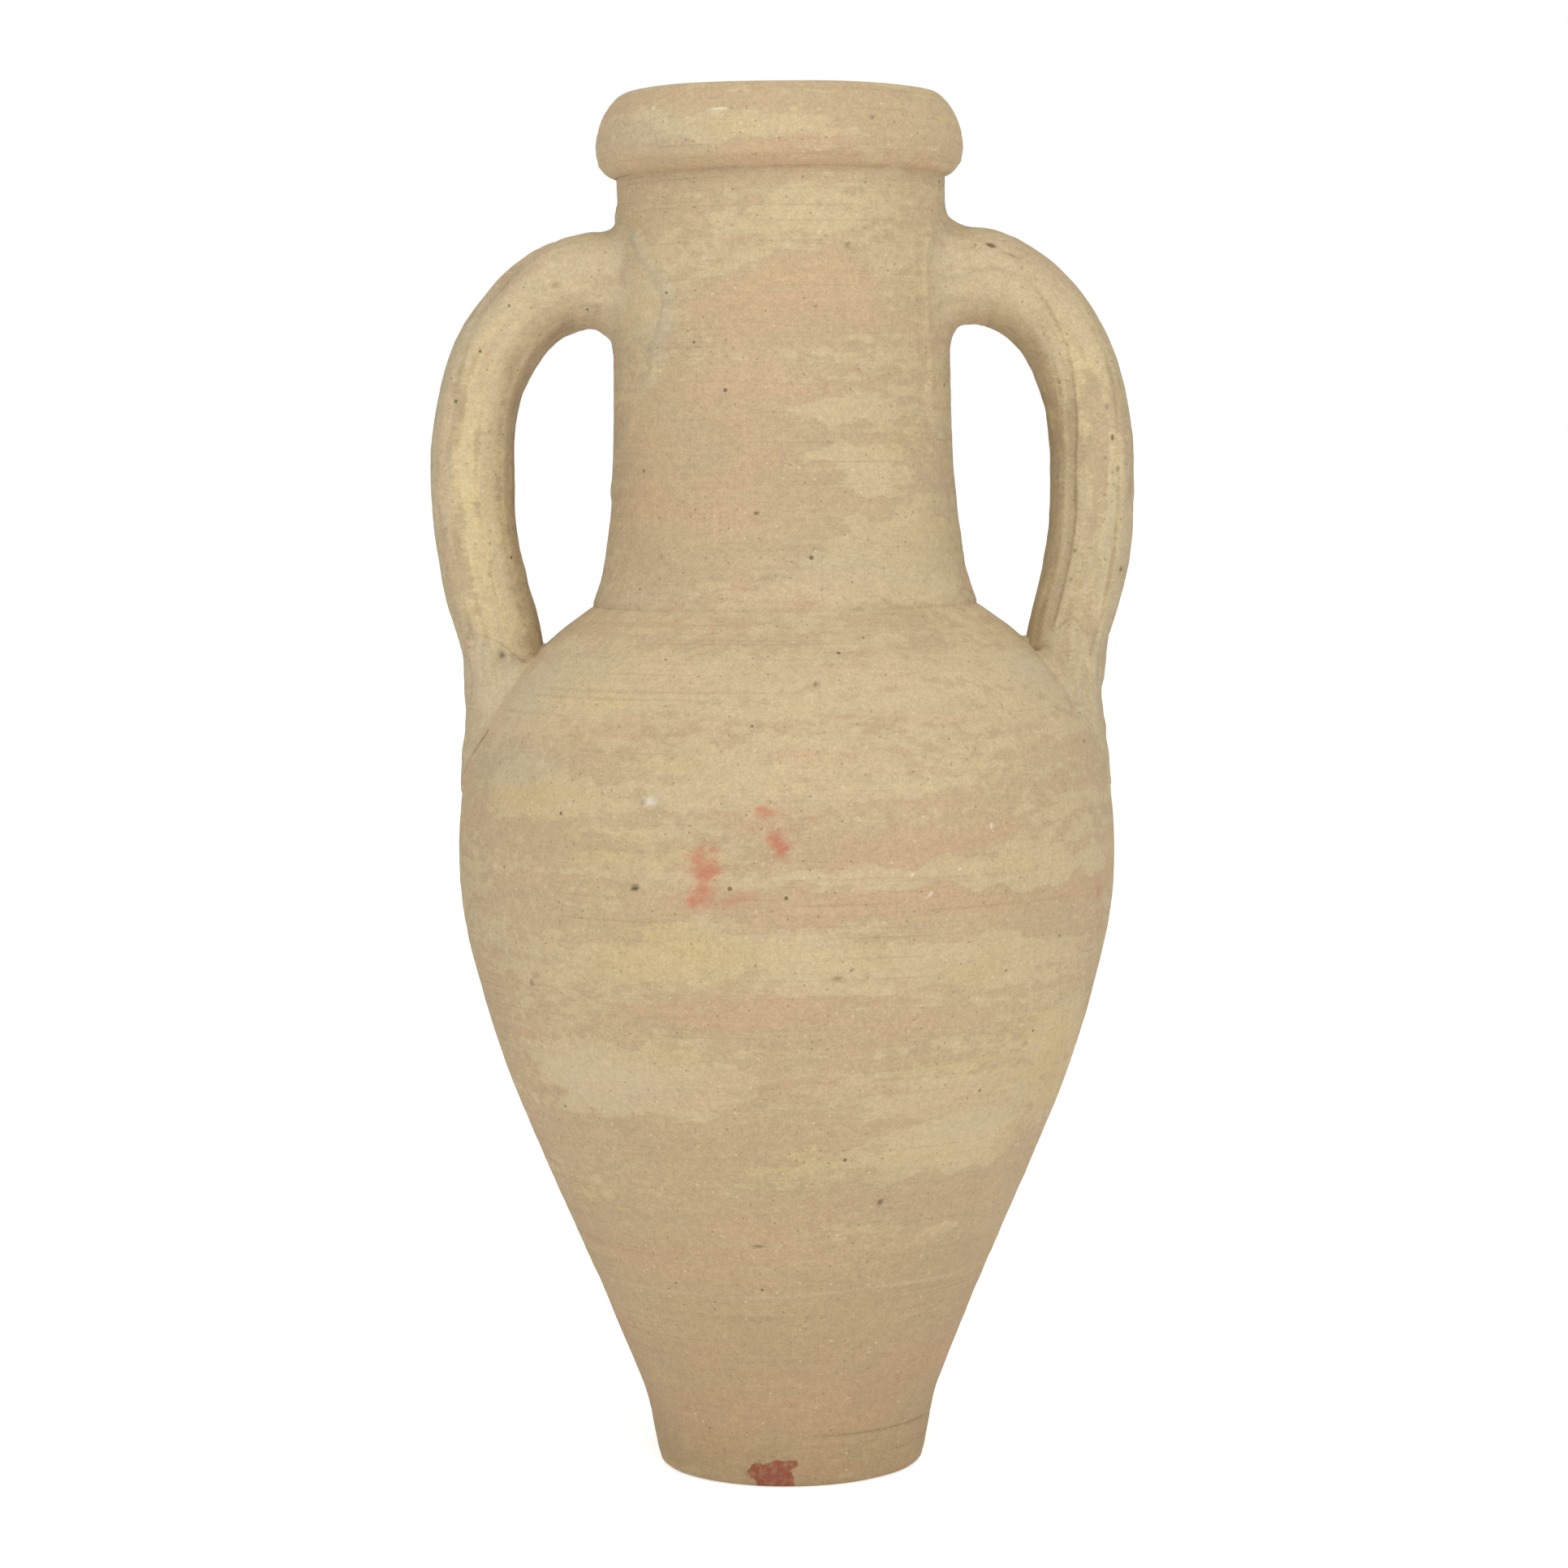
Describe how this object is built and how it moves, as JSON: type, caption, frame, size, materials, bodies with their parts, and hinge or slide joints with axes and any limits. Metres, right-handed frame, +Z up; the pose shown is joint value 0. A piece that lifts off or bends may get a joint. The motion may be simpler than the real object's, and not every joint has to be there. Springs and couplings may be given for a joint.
{
  "type": "amphora",
  "caption": "Unglazed earthenware amphora with a rolled rim, a wide neck, two vertical strap handles from neck to shoulder, and a flat foot.",
  "frame": {"origin": "centre of the flat base, on the surface that the amphora stands on", "axes": "+Z up along the vessel's axis; the two handles lie along X, the right-hand one on +X as seen from the front; the front is towards -Y"},
  "size_m": [0.2864, 0.2678, 0.56],
  "materials": {
    "thrown_clay": "matt, unglazed, sand-coloured with wheel lines",
    "handle_clay": "matt, unglazed, finger-wiped",
    "luting_clay": "matt, unglazed, wiped with wet fingers",
    "inner_clay": "matt, unglazed, coarse"
  },
  "bodies": {
    "root": {"base_floor": "inner_clay", "foot_ring": "thrown_clay", "lower_body": "thrown_clay", "middle_body": "thrown_clay", "shoulder": "thrown_clay", "neck_joint_coil": "inner_clay", "neck": "thrown_clay", "rim_collar": "thrown_clay", "left_handle": "handle_clay", "left_handle_root_wad": "luting_clay", "left_handle_heel_wad": "luting_clay", "right_handle": "handle_clay", "right_handle_root_wad": "luting_clay", "right_handle_heel_wad": "luting_clay"}
  },
  "joints": []
}
